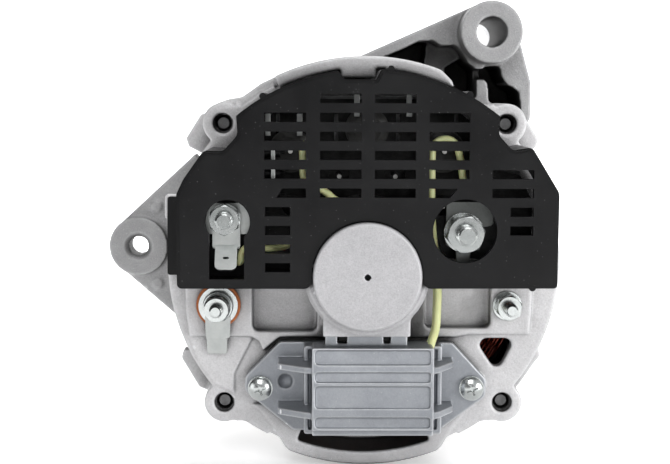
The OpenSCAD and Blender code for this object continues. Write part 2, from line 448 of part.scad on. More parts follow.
// ---------- regulator and brush gear ----------
flange = [[-36.5, -38.6], [-36.4, -34], [-25.8, -23.3], [27, -23.5], [37.6, -35], [37.4, -40.4], [23.3, -50.9], [-21.7, -50.9]];
module regulator_heatsink() color([0.6, 0.62, 0.65]) place() difference() {
  union() {
    plate(rounded(flange, [2.6, 2.6, 1.4, 1.4, 2.6, 2.6, 1.4, 1.4]), 1.05, 4);
    plate(rounded([[-18.4, -50.7], [23.4, -50.7], [23.4, -23.6], [-18.4, -23.6]], 0.8), 4, 9.6);
    plate(rounded([[-15.9, -47.1], [20.1, -47.1], [20.1, -22.3], [-15.9, -22.3]], 0.5), 9, 20);
    blk(-15.9, 20.1, -48.9, -46.9, 9, 18.6);
    blk(-12, 12.4, -22.6, -18.9, 14.6, 16.3);
    // tapered stiffening fingers
    for (y = [-29.2, -42.8]) translate([0, y + 1, 0]) rotate([90, 0, 0]) linear_extrude(height = 2) {
      polygon([[-15.7, 3.9], [-15.7, 19.4], [-18, 18.4], [-25.3, 13.4], [-26.2, 12.3], [-26.2, 3.9]]);
      polygon([[19.9, 3.9], [19.9, 19.4], [22, 17.6], [26.2, 11], [26.8, 9.8], [26.8, 3.9]]);
    }
  }
  for (q = [[-27.3, -22.9], [-32.6, -29.5], [-40.4, -33.7], [-46.3, -43.1]])
    plate(rounded([[-14.9, q[0]], [19.1, q[0]], [19.1, q[1]], [-14.9, q[1]]], 0.9), 19.2, 21);
  translate([-24.1, -35.6, 5.6]) sphere(r = 2.9);
  // grooves between the rim and the finned body
  for (x = [-17.1, 20.9], q = [[-28, -24.6], [-41.6, -30.4], [-49.4, -44]]) blk(x, x + 1.1, q[0], q[1], 7.6, 10);
  for (x = [-31.8, 33]) cyl(x, -37.6, 2.2, -2, 6);
  // hollow for the brush holder
  blk(-13.4, 17.4, -46.4, -24.6, 0, 6.8);
  blk(-5.95, 5.95, -44, -20, 0, 14.4);
  blk(-8.4, -5.5, -21.6, -18, 14, 19);
  blk(5.3, 7.4, -21.6, -18, 14, 19);
}
module regulator_screws() color([0.8, 0.8, 0.78]) place() for (x = [-31.8, 33]) translate([x, -37.6, 0]) {
  translate([0, 0, -6]) cylinder(h = 10.2, r = 1.95);
  translate([0, 0, 4.05]) cylinder(h = 0.8, r = 3.8);
  difference() {
    intersection() {
      translate([0, 0, 4.8]) cylinder(h = 3, r = 3.5);
      translate([0, 0, 1.5]) sphere(r = 6);
    }
    rotate([0, 0, 20]) { blk(-1.8, 1.8, -0.32, 0.32, 6.2, 9); blk(-0.32, 0.32, -1.8, 1.8, 6.2, 9); cyl(0, 0, 0.75, 5.8, 9); }
  }
}
brush_z = [10, 2.5];
module brush_holder() color([0.12, 0.12, 0.13]) place() difference() {
  union() {
    blk(-5.4, 5.4, -43.4, -9.3, -1.5, 13.9);
    plate(rounded([[-13, -46], [17, -46], [17, -25], [-13, -25]], 1), 1.1, 6.4);
    blk(-7.9, -5.3, -21.4, -19.2, 2.9, 13.8);
    blk(5.3, 7.2, -21.4, -19.2, 2.9, 13.8);
  }
  for (z = brush_z) blk(-3.25, 3.25, -41, -9, z - 2.25, z + 2.25);
}
module brush(z) difference() {
  blk(-3.2, 3.2, -23.5, -6.9, z - 2.2, z + 2.2);
  translate([0, 0, z - 4]) cylinder(h = 8, r = 7.56);
}
module spring(z) sweep([for (i = [0:66]) let(a = 360 * i / 11) [1.7 * cos(a), -40.6 + 16.7 * i / 66, z + 1.7 * sin(a)]], 0.28, 6);
module upper_brush() color([0.2, 0.19, 0.18]) place() brush(brush_z[0]);
module lower_brush() color([0.2, 0.19, 0.18]) place() brush(brush_z[1]);
module upper_brush_spring() color([0.6, 0.6, 0.58]) place() spring(brush_z[0]);
module lower_brush_spring() color([0.6, 0.6, 0.58]) place() spring(brush_z[1]);

// ---------- leads, held along their whole length ----------
lead_r = 1.1;
output_route = [[19.6, -23.4, 12.2], [20.3, -21.2, 11.9], [21.5, -18, 9.9], [21.9, -12.2, 8.9], [21.9, -6, 9.7], [21, 0, 12.5], [19.8, 8, 18.8],
  [18.9, 14, 22.1], [18.5, 20, 22.7], [18.5, 27.5, 22.7], [18.5, 34, 22.7], [18.8, 37, 22.7], [20.4, 38.9, 22.7], [23.2, 39.2, 22.7], [25.6, 37.4, 22.7],
  [26.8, 33, 22.7], [27.5, 28, 22.7], [27.9, 25, 22.5], [28.1, 23, 22.45]];
sense_route = [[-19.2, 38.6, 22.6], [-18.7, 36, 22.7], [-18.6, 31, 22.7], [-18.2, 28, 22.7], [-16.6, 26.2, 22.7], [-13.8, 25, 22.7], [-11.6, 23.6, 22.7],
  [-9.4, 21.8, 22.6], [-6, 20.8, 22.2], [0, 20.3, 21.8], [6, 19.7, 21.6], [11.6, 17.4, 21], [15.8, 13, 19.4], [18.5, 6.6, 15], [20.1, 0, 9.3],
  [21.6, -6, 6.9], [21.7, -12.2, 6.2], [21.5, -17.6, 6.4], [20.5, -20.9, 8.2], [19.3, -23.4, 9.4]];
exciter_route = [[-38, 2.4, 15], [-36.8, 3.4, 19.6], [-36.4, 6.4, 20.8], [-34, 7.8, 20.6], [-29, 7.4, 20.6], [-24, 7.8, 19.8], [-21.4, 9.6, 17.4], [-20.6, 12, 13.6]];
module output_lead() color([0.8, 0.82, 0.54]) place() sweep(smooth(output_route), lead_r);
module sense_lead() color([0.8, 0.82, 0.54]) place() sweep(smooth(sense_route), lead_r);
module exciter_lead() color([0.78, 0.8, 0.5]) place() sweep(smooth(exciter_route), 0.95);

// ---------- bearings ----------
module race(ro, ri, rp, rb, z0, z1) difference() {
  ring(ro, ri, z0, z1);
  rotate_extrude() translate([rp, (z0 + z1) / 2]) circle(r = rb, $fn = 48);
}
module balls(n, rp, rb, z) for (i = [0:n - 1]) rotate([0, 0, 360 * i / n + 13]) translate([rp, 0, z]) sphere(r = rb, $fn = 48);
// two rails joined by a bar between each pair of balls
module cage(n, ro, ri, rb, z, h) {
  rail = h / 2 - rb - 0.1;
  ring(ro, ri, z - h / 2, z - h / 2 + rail);
  ring(ro, ri, z + h / 2 - rail, z + h / 2);
  for (i = [0:n - 1]) sector(ro - 0.05, ri + 0.05, 360 / n * (i + 0.5) + 13 - 7.5, 360 / n * (i + 0.5) + 13 + 7.5, z - h / 2 + rail / 2, z + h / 2 - rail / 2);
}
rb_z0 = 15.6;
rb_z1 = 23.6;
module rear_bearing_outer() color([0.7, 0.7, 0.72]) place() {
  race(13, 10.6, 9, 2.44, rb_z0, rb_z1);
  // shields
  ring(10.7, 7.48, rb_z1 - 0.8, rb_z1 - 0.3);
  ring(10.7, 7.48, rb_z0 + 0.3, rb_z0 + 0.8);
}
module rear_bearing_inner() color([0.72, 0.72, 0.74]) place() race(7.4, 5.01, 9, 2.44, rb_z0, rb_z1);
module rear_bearing_balls() color([0.8, 0.8, 0.82]) place() balls(7, 9, 2.38, (rb_z0 + rb_z1) / 2);
module rear_bearing_cage() color([0.62, 0.5, 0.28]) place() cage(7, 9.9, 8.1, 2.38, (rb_z0 + rb_z1) / 2, 5.8);
fb_z0 = -97;
fb_z1 = -83;
module front_bearing_outer() color([0.7, 0.7, 0.72]) place() difference() {
  union() {
    race(23.5, 19, 16.1, 4.44, fb_z0, fb_z1);
    ring(19.2, 13.08, fb_z1 - 1.2, fb_z1 - 0.5);
    ring(19.2, 13.08, fb_z0 + 0.5, fb_z0 + 1.2);
  }
}
module front_bearing_inner() color([0.72, 0.72, 0.74]) place() race(13, 8.51, 16.1, 4.44, fb_z0, fb_z1);
module front_bearing_balls() color([0.8, 0.8, 0.82]) place() balls(7, 16.1, 4.37, (fb_z0 + fb_z1) / 2);
module front_bearing_cage() color([0.62, 0.5, 0.28]) place() cage(7, 17.6, 14.6, 4.37, (fb_z0 + fb_z1) / 2, 10.4);
module bearing_retainer() color([0.6, 0.6, 0.62]) place() difference() {
  ring(30.6, 15.4, -82.95, -81.1);
  for (a = [30, 150, 270]) rotate([0, 0, a]) cyl(27.2, 0, 1.75, -84, -78);
}
module retainer_screws() color([0.62, 0.62, 0.62]) place() for (a = [30, 150, 270]) rotate([0, 0, a]) translate([27.2, 0, 0]) {
  translate([0, 0, -89]) cylinder(h = 8.4, r = 1.6);
  translate([0, 0, -81.05]) cylinder(h = 1.6, r = 3);
  translate([0, 0, -79.45]) cylinder(h = 0.5, r1 = 3, r2 = 2.2);
}

// ---------- rotor ----------
module shaft() color([0.66, 0.66, 0.68]) place() difference() {
  union() {
    translate([0, 0, -17.4]) cylinder(h = 41, r = 5);
    translate([0, 0, 23.6]) cylinder(h = 0.8, r1 = 5, r2 = 4.3);
    translate([0, 0, -64]) cylinder(h = 46.6, r = 9);
    translate([0, 0, -136.6]) cylinder(h = 72.8, r = 8.5);
    translate([0, 0, -151]) cylinder(h = 14.6, r = 7.9);
    translate([0, 0, -152]) cylinder(h = 1, r1 = 7, r2 = 7.9);
  }
  translate([0, 0, -153]) cylinder(h = 6, r = 4.6, $fn = 6);
  translate([0, 0, 22]) cylinder(h = 3, r1 = 0.2, r2 = 1.8);
  // key seat under the pulley
  blk(6, 9.6, -2, 2, -134, -121);
}
// one half of the claw-pole rotor: disc, half of the core, and its fingers towards +z
module pole_half() {
  ring(27, 9.02, 0, 12);
  ring(20, 9.02, 11, 23);
  for (i = [0:claws - 1]) rotate([0, 0, 360 / claws * i]) intersection() {
    rotate_extrude() polygon([[24, 0], [rotor_r - 2.5, 0], [rotor_r, 2.5], [rotor_r, 43], [39.2, 43], [36.4, 12], [24, 12]]);
    rotate([0, 90, 0]) linear_extrude(height = 60) polygon([[0, 11.5], [-12, 10.6], [-43, 3.4], [-43, -3.4], [-12, -10.6], [0, -11.5]]);
  }
}
module front_claw_pole() color([0.36, 0.35, 0.34]) place() translate([0, 0, -64]) pole_half();
module rear_claw_pole() color([0.36, 0.35, 0.34]) place() translate([0, 0, -18]) mirror([0, 0, 1]) rotate([0, 0, 180 / claws]) pole_half();
module coil_bobbin() color([0.85, 0.83, 0.74]) place() {
  ring(21.6, 20.2, -51.6, -30.4);
  ring(35.6, 20.2, -51.7, -50.4);
  ring(35.6, 20.2, -31.6, -30.3);
}
module field_coil() color([0.6, 0.3, 0.15]) place() ring(34.6, 21.7, -50.2, -31.8);
module slip_rings() color([0.78, 0.5, 0.32]) place() {
  ring(7.5, 6.72, 7.4, 12.6);
  ring(7.5, 6.72, -0.1, 5.1);
}
module slip_ring_moulding() color([0.14, 0.12, 0.1]) place() {
  ring(6.7, 5.02, -12, 13.6);
  ring(7.3, 6.5, 5.3, 7.2);
  ring(7.4, 6.5, -1.4, -0.3);
  ring(9.4, 5.02, -16.6, -11.6);
  for (s = [-1, 1]) blk(s > 0 ? 9 : -15, s > 0 ? 15 : -9, -1.2, 1.2, -16.6, -14.6);
}
module rotor_spacer() color([0.6, 0.6, 0.61]) place() ring(12.4, 8.55, -82.9, -64.2);

// ---------- fan and pulley ----------
module fan() color([0.5, 0.5, 0.5]) place() difference() {
  union() {
    rotate_extrude() polygon([[8.55, -98.8], [8.55, -97.05], [17.2, -97.05], [31.4, -111], [fan_r - 13, -111], [fan_r - 13, -112.8],
      [30.6, -112.8], [16.4, -98.8]]);
    for (i = [0:fan_blades - 1]) rotate([0, 0, 360 / fan_blades * i]) {
      plate([[36, -6.2], [fan_r - 2.2, -4.6], [fan_r - 0.6, 0], [fan_r - 3, 5.2], [fan_r - 8, 7.6], [36, 6]], -112.8, -111);
      // upright part of the blade, bent a little backwards
      translate([0, 0, -111.4]) linear_extrude(height = 10.4) polygon([[35, -7.4], [43, -6.9], [52, -5.2], [fan_r - 1.6, -2.2], [fan_r - 2.2, -0.5],
        [52, -3.4], [43, -5.1], [35, -5.6]]);
    }
  }
  for (i = [0:5]) rotate([0, 0, 60 * i + 15]) cyl(36, 0, 2.2, -116, -108);
}
module pulley() color([0.35, 0.35, 0.37]) place() difference() {
  rotate_extrude() polygon([[8.52, -136.8], [8.52, -98.9], [14.8, -98.9], [14.8, -117.6], [pulley_r - 1, -117.6], [pulley_r, -118.6],
    [pulley_r, belt_z + groove_w / 2], [pulley_r - 11.4, belt_z + groove_w / 2 - 3.8], [pulley_r - 11.4, belt_z - groove_w / 2 + 3.8],
    [pulley_r, belt_z - groove_w / 2], [pulley_r, -137.4], [pulley_r - 1, -138.4], [21, -138.4], [21, -136.8]]);
  blk(7, 9.3, -2.05, 2.05, -140, -90);
}
module woodruff_key() color([0.5, 0.5, 0.52]) place() blk(6.2, 9.0, -1.95, 1.95, -133.8, -121.2);
module pulley_nut() color([0.72, 0.72, 0.72]) place() {
  translate([0, 0, -139]) difference() {
    union() { translate([0, 0, 0.6]) cylinder(h = 1.4, r = 15); cylinder(h = 0.6, r1 = 14, r2 = 15); }
    translate([0, 0, -1]) cylinder(h = 4, r = 7.93);
  }
  translate([0, 0, -148.6]) hexnut(24, 9.8, 7.93);
}

rear_housing();
drive_end_bracket();
pivot_sleeve();
stator_core();
stator_winding();
through_bolts();
rear_cover();
positive_heatsink();
negative_heatsink();
positive_diodes();
negative_diodes();
exciter_diodes();
phase_terminals();
terminal_block();
rectifier_insulators();
output_stud();
output_nut();
output_washers();
output_bus();
exciter_stud();
exciter_nut();
exciter_terminal();
phase_stud();
phase_terminal_plate();
fibre_washer();
ground_stud();
terminal_washers();
terminal_nuts();
regulator_heatsink();
regulator_screws();
brush_holder();
upper_brush();
lower_brush();
upper_brush_spring();
lower_brush_spring();
output_lead();
sense_lead();
exciter_lead();
rear_bearing_outer();
rear_bearing_inner();
rear_bearing_balls();
rear_bearing_cage();
front_bearing_outer();
front_bearing_inner();
front_bearing_balls();
front_bearing_cage();
bearing_retainer();
retainer_screws();
shaft();
front_claw_pole();
rear_claw_pole();
field_coil();
coil_bobbin();
slip_rings();
slip_ring_moulding();
rotor_spacer();
fan();
pulley();
woodruff_key();
pulley_nut();
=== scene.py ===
import bpy, bmesh, math, json, random
from mathutils import Vector, Matrix


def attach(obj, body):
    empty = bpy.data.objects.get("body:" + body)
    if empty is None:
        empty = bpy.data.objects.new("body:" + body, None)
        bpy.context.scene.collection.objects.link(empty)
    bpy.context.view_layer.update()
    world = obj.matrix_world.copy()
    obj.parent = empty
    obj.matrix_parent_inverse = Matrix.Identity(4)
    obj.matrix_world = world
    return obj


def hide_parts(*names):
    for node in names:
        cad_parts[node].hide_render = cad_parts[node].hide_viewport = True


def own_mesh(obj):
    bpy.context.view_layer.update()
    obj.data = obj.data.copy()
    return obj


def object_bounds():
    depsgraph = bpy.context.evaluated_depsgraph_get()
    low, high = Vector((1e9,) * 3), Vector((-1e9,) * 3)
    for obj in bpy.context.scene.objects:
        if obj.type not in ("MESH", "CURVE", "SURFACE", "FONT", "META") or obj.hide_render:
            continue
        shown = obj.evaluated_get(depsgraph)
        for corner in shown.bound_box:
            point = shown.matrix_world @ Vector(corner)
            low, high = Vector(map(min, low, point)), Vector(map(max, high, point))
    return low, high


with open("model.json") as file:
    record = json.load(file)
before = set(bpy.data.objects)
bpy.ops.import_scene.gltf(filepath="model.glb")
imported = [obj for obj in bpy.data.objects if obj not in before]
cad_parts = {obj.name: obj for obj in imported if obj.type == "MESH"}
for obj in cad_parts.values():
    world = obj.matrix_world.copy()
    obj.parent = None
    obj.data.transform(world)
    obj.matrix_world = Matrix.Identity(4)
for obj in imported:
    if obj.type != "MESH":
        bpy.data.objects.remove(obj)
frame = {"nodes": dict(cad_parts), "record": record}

cad_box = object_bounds()
nodes = frame["nodes"]
MM = 0.001
BELT = -128.0


def P(x, y, z):
    """Drawing coordinates (x right, y up, z to the rear, mm) in the row frame (m)."""
    return Vector((x * MM, (BELT - z) * MM, y * MM))


# ---------------------------------------------------------------- materials
def new_mat(name):
    m = bpy.data.materials.new(name)
    m.use_nodes = True
    nt = m.node_tree
    for n in list(nt.nodes):
        nt.nodes.remove(n)
    out = nt.nodes.new("ShaderNodeOutputMaterial")
    b = nt.nodes.new("ShaderNodeBsdfPrincipled")
    nt.links.new(b.outputs[0], out.inputs[0])
    return m, nt, b


class G:
    """Small helper that strings shader nodes together."""

    def __init__(self, nt):
        self.nt = nt
        self.tc = nt.nodes.new("ShaderNodeTexCoord").outputs["Object"]

    def mapping(self, scale=(1, 1, 1), rot=(0, 0, 0), src=None):
        n = self.nt.nodes.new("ShaderNodeMapping")
        n.inputs["Scale"].default_value = scale
        n.inputs["Rotation"].default_value = rot
        self.nt.links.new(src or self.tc, n.inputs["Vector"])
        return n.outputs[0]

    def noise(self, scale, detail=3, rough=0.55, vec=None, dist=0.0):
        n = self.nt.nodes.new("ShaderNodeTexNoise")
        n.inputs["Scale"].default_value = scale
        n.inputs["Detail"].default_value = detail
        n.inputs["Roughness"].default_value = rough
        n.inputs["Distortion"].default_value = dist
        self.nt.links.new(vec or self.tc, n.inputs["Vector"])
        return n.outputs[0]

    def voronoi(self, scale, vec=None, feature="F1"):
        n = self.nt.nodes.new("ShaderNodeTexVoronoi")
        n.feature = feature
        n.inputs["Scale"].default_value = scale
        self.nt.links.new(vec or self.tc, n.inputs["Vector"])
        return n.outputs[0]

    def wave(self, scale, vec=None, dist=0.0, direction="X", detail=2):
        n = self.nt.nodes.new("ShaderNodeTexWave")
        n.bands_direction = direction
        n.inputs["Scale"].default_value = scale
        n.inputs["Distortion"].default_value = dist
        n.inputs["Detail"].default_value = detail
        self.nt.links.new(vec or self.tc, n.inputs["Vector"])
        return n.outputs["Fac"]

    def remap(self, src, a, b, c, d):
        n = self.nt.nodes.new("ShaderNodeMapRange")
        n.inputs["From Min"].default_value = a
        n.inputs["From Max"].default_value = b
        n.inputs["To Min"].default_value = c
        n.inputs["To Max"].default_value = d
        self.nt.links.new(src, n.inputs["Value"])
        return n.outputs[0]

    def ramp(self, src, stops):
        n = self.nt.nodes.new("ShaderNodeValToRGB")
        e = n.color_ramp.elements
        while len(e) < len(stops):
            e.new(0.5)
        for k, (pos, col) in enumerate(stops):
            e[k].position = pos
            e[k].color = (*col, 1)
        self.nt.links.new(src, n.inputs[0])
        return n.outputs[0]

    def mix(self, a, b, fac, kind="MIX"):
        n = self.nt.nodes.new("ShaderNodeMix")
        n.data_type = "RGBA"
        n.blend_type = kind
        for sock, v in ((n.inputs[0], fac), (n.inputs[6], a), (n.inputs[7], b)):
            if hasattr(v, "is_output"):
                self.nt.links.new(v, sock)
            elif isinstance(v, (int, float)):
                sock.default_value = v
            else:
                sock.default_value = (*v, 1)
        return n.outputs[2]

    def math(self, op, a, b=0.0):
        n = self.nt.nodes.new("ShaderNodeMath")
        n.operation = op
        for k, v in enumerate((a, b)):
            if hasattr(v, "is_output"):
                self.nt.links.new(v, n.inputs[k])
            else:
                n.inputs[k].default_value = v
        return n.outputs[0]

    def bump(self, height, strength, dist, bsdf, prev=None):
        n = self.nt.nodes.new("ShaderNodeBump")
        n.inputs["Strength"].default_value = strength
        n.inputs["Distance"].default_value = dist
        self.nt.links.new(height, n.inputs["Height"])
        if prev is not None:
            self.nt.links.new(prev, n.inputs["Normal"])
        self.nt.links.new(n.outputs[0], bsdf.inputs["Normal"])
        return n.outputs[0]

    def link(self, a, b):
        self.nt.links.new(a, b)


def cavity(g, dist):
    """0 in a hollow, 1 in the open: used to paint shade into seams and hollows."""
    n = g.nt.nodes.new("ShaderNodeAmbientOcclusion")
    n.samples = 6
    n.inputs["Distance"].default_value = dist
    return n.outputs["AO"]


def cast_metal(name, lo, hi, rough=(0.42, 0.62), metallic=0.55, grain=1.0, shade=None, painted_shade=False, edge_light_and_wear=0.0):
    """Blasted casting: mottled, with fine dark pits and bright facets."""
    m, nt, b = new_mat(name)
    g = G(nt)
    big = g.noise(55, 4, 0.6)
    mid = g.noise(520, 3, 0.6)
    fine = g.noise(2300, 3, 0.7)
    speck = g.voronoi(1250)
    base = g.ramp(big, [(0.3, lo), (0.72, hi)])
    col = g.mix(base, g.ramp(mid, [(0.32, (0.9, 0.9, 0.9)), (0.68, (1, 1, 1))]), 0.8, "MULTIPLY")
    col = g.mix(col, g.ramp(fine, [(0.3, (0.78, 0.78, 0.78)), (0.6, (1, 1, 1))]), 0.75 * grain, "MULTIPLY")
    spark = g.math("MULTIPLY", g.remap(speck, 0.0, 0.2, 1.0, 0.0), g.remap(fine, 0.5, 0.62, 0.0, 1.0))
    col = g.mix(col, (0.95, 0.95, 0.96), g.math("MULTIPLY", spark, 0.8 * grain))
    if painted_shade:
        # painted shade: what stands furthest out to the rear, such as the cap, is painted darker for the way light
        # falls on it
        sep = nt.nodes.new("ShaderNodeSeparateXYZ")
        g.link(g.tc, sep.inputs[0])
        col = g.mix(col, (0.76, 0.76, 0.77), g.remap(sep.outputs[1], -0.1475, -0.1505, 0.0, 1.0), "MULTIPLY")
        # painted shade: the upward-facing inside of the wall under the long lower opening is painted near black, where
        # shade falls
        nrm = nt.nodes.new("ShaderNodeSeparateXYZ")
        g.link(nt.nodes.new("ShaderNodeNewGeometry").outputs["Normal"], nrm.inputs[0])
        low = g.math("MULTIPLY", g.remap(nrm.outputs[2], 0.2, 0.5, 0.0, 1.0), g.remap(sep.outputs[2], -0.0485, -0.0505, 0.0, 1.0))
        col = g.mix(col, (0.1, 0.095, 0.09), g.math("MULTIPLY", low, g.remap(sep.outputs[1], -0.1282, -0.1276, 0.0, 1.0)), "MULTIPLY")
    if shade:
        # painted shade: hollows and deep cored pockets are darkened by how little light reaches them
        col = g.mix((0.012, 0.011, 0.01), col, g.remap(cavity(g, shade[0]), shade[1], shade[2], 0.0, 1.0))
    if edge_light_and_wear:
        # painted highlight on outer edges, with some rubbed wear; painted shade in inner corners
        pt = nt.nodes.new("ShaderNodeNewGeometry").outputs["Pointiness"]
        col = g.mix(col, (0.55, 0.55, 0.56), g.math("MULTIPLY", g.remap(pt, 0.42, 0.495, 1.0, 0.0), edge_light_and_wear * 0.8), "MULTIPLY")
        col = g.mix(col, (0.92, 0.93, 0.95), g.math("MULTIPLY", g.remap(pt, 0.505, 0.58, 0.0, 1.0), edge_light_and_wear))
    g.link(col, b.inputs["Base Color"])
    g.link(g.remap(fine, 0.3, 0.7, rough[1], rough[0]), b.inputs["Roughness"])
    b.inputs["Metallic"].default_value = metallic
    n1 = g.bump(fine, 0.4 * grain, 0.00018, b)
    n2 = g.bump(speck, 0.25 * grain, 0.00015, b, n1)
    g.bump(mid, 0.18, 0.0003, b, n2)
    return m


def plastic(name, lo, hi, rough=(0.5, 0.66), grain=0.3, spec=0.3, dots=0.5):
    m, nt, b = new_mat(name)
    g = G(nt)
    big = g.noise(60, 3, 0.6)
    fine = g.noise(3000, 2, 0.6)
    col = g.ramp(big, [(0.3, lo), (0.75, hi)])
    dust = g.math("MULTIPLY", g.remap(g.voronoi(620), 0.0, 0.12, 1.0, 0.0), g.remap(g.noise(140, 3), 0.5, 0.62, 0.15, 1.0))
    col = g.mix(col, (0.34, 0.34, 0.34), g.math("MULTIPLY", dust, dots))
    g.link(col, b.inputs["Base Color"])
    g.link(g.remap(big, 0.3, 0.7, rough[0], rough[1]), b.inputs["Roughness"])
    b.inputs["Specular IOR Level"].default_value = spec
    n1 = g.bump(fine, grain, 0.00008, b)
    g.bump(g.noise(420, 2), 0.1, 0.0002, b, n1)
    return m


def plated(name, lo, hi, rough=(0.16, 0.34), brushed=None, dent=0.12, painted_light=None):
    m, nt, b = new_mat(name)
    g = G(nt)
    vec = g.mapping(brushed) if brushed else None
    big = g.noise(260, 4, 0.65)
    fine = g.noise(1800, 3, 0.6, vec)
    col = g.ramp(big, [(0.28, lo), (0.7, hi)])
    if painted_light:
        # painted light: what stands up in the cover's hole is painted lighter than the plates below, which lie in
        # shade
        sep = nt.nodes.new("ShaderNodeSeparateXYZ")
        g.link(g.tc, sep.inputs[0])
        col = g.mix(col, painted_light, g.remap(sep.outputs[1], -0.1468, -0.1474, 0.0, 1.0))
    g.link(col, b.inputs["Base Color"])
    g.link(g.remap(fine, 0.3, 0.72, rough[0], rough[1]), b.inputs["Roughness"])
    b.inputs["Metallic"].default_value = 1.0
    g.bump(fine, dent, 0.00006, b)
    return m


def laminated(name):
    m, nt, b = new_mat(name)
    g = G(nt)
    lines = g.wave(320, g.mapping((1, 1, 1)), 0.0, "Y", 0)
    big = g.noise(70, 4)
    col = g.ramp(big, [(0.3, (0.075, 0.068, 0.06)), (0.7, (0.13, 0.12, 0.11))])
    rust = g.remap(g.noise(28, 5, 0.7), 0.58, 0.72, 0.0, 0.6)
    col = g.mix(col, (0.14, 0.06, 0.025), rust)
    g.link(col, b.inputs["Base Color"])
    g.link(g.remap(big, 0.3, 0.7, 0.42, 0.6), b.inputs["Roughness"])
    b.inputs["Metallic"].default_value = 0.5
    g.bump(lines, 0.5, 0.00015, b)
    return m


def enamel_copper(name):
    m, nt, b = new_mat(name)
    g = G(nt)
    big = g.noise(140, 3)
    col = g.ramp(big, [(0.3, (0.15, 0.018, 0.008)), (0.7, (0.45, 0.06, 0.022))])
    # painted shade: the copper turns near black in hollows and deep inside the housing
    col = g.mix((0.006, 0.003, 0.002), col, g.remap(cavity(g, 0.012), 0.08, 0.6, 0.0, 1.0))
    g.link(col, b.inputs["Base Color"])
    g.link(g.remap(g.noise(900, 2), 0.3, 0.7, 0.14, 0.3), b.inputs["Roughness"])
    b.inputs["Metallic"].default_value = 0.65
    b.inputs["Coat Weight"].default_value = 0.6
    b.inputs["Coat Roughness"].default_value = 0.12
    g.bump(g.noise(700, 2), 0.15, 0.0001, b)
    return m


def insulation(name, lo, hi):
    m, nt, b = new_mat(name)
    g = G(nt)
    big = g.noise(120, 3)
    g.link(g.ramp(big, [(0.3, lo), (0.7, hi)]), b.inputs["Base Color"])
    g.link(g.remap(g.noise(1500, 2), 0.3, 0.7, 0.34, 0.5), b.inputs["Roughness"])
    b.inputs["Subsurface Weight"].default_value = 0.08
    b.inputs["Subsurface Scale"].default_value = 0.0008
    g.bump(g.noise(900, 2), 0.1, 0.0001, b)
    return m


def fibre_mat(name):
    m, nt, b = new_mat(name)
    g = G(nt)
    f = g.noise(500, 4, 0.7, g.mapping((1, 1, 6)))
    g.link(g.ramp(f, [(0.3, (0.3, 0.075, 0.018)), (0.7, (0.62, 0.19, 0.05))]), b.inputs["Base Color"])
    g.link(g.remap(f, 0.3, 0.7, 0.55, 0.75), b.inputs["Roughness"])
    g.bump(f, 0.25, 0.0001, b)
    return m


def diode_mat(name):
    """Dark case with black potting, its near-black tone partly painted shade from lying under the cover; only the wire
    that stands out of it is tinned.
    """
    m, nt, b = new_mat(name)
    g = G(nt)
    sep = nt.nodes.new("ShaderNodeSeparateXYZ")
    g.link(g.tc, sep.inputs[0])
    wire = g.remap(sep.outputs[1], -0.1469, -0.1471, 0.0, 1.0)
    big = g.noise(300, 3)
    case = g.ramp(big, [(0.3, (0.014, 0.014, 0.013)), (0.7, (0.035, 0.034, 0.032))])
    g.link(g.mix(case, (0.62, 0.62, 0.6), wire), b.inputs["Base Color"])
    g.link(g.remap(big, 0.3, 0.7, 0.35, 0.55), b.inputs["Roughness"])
    g.link(wire, b.inputs["Metallic"])
    g.bump(g.noise(1200, 2), 0.08, 0.0001, b)
    return m


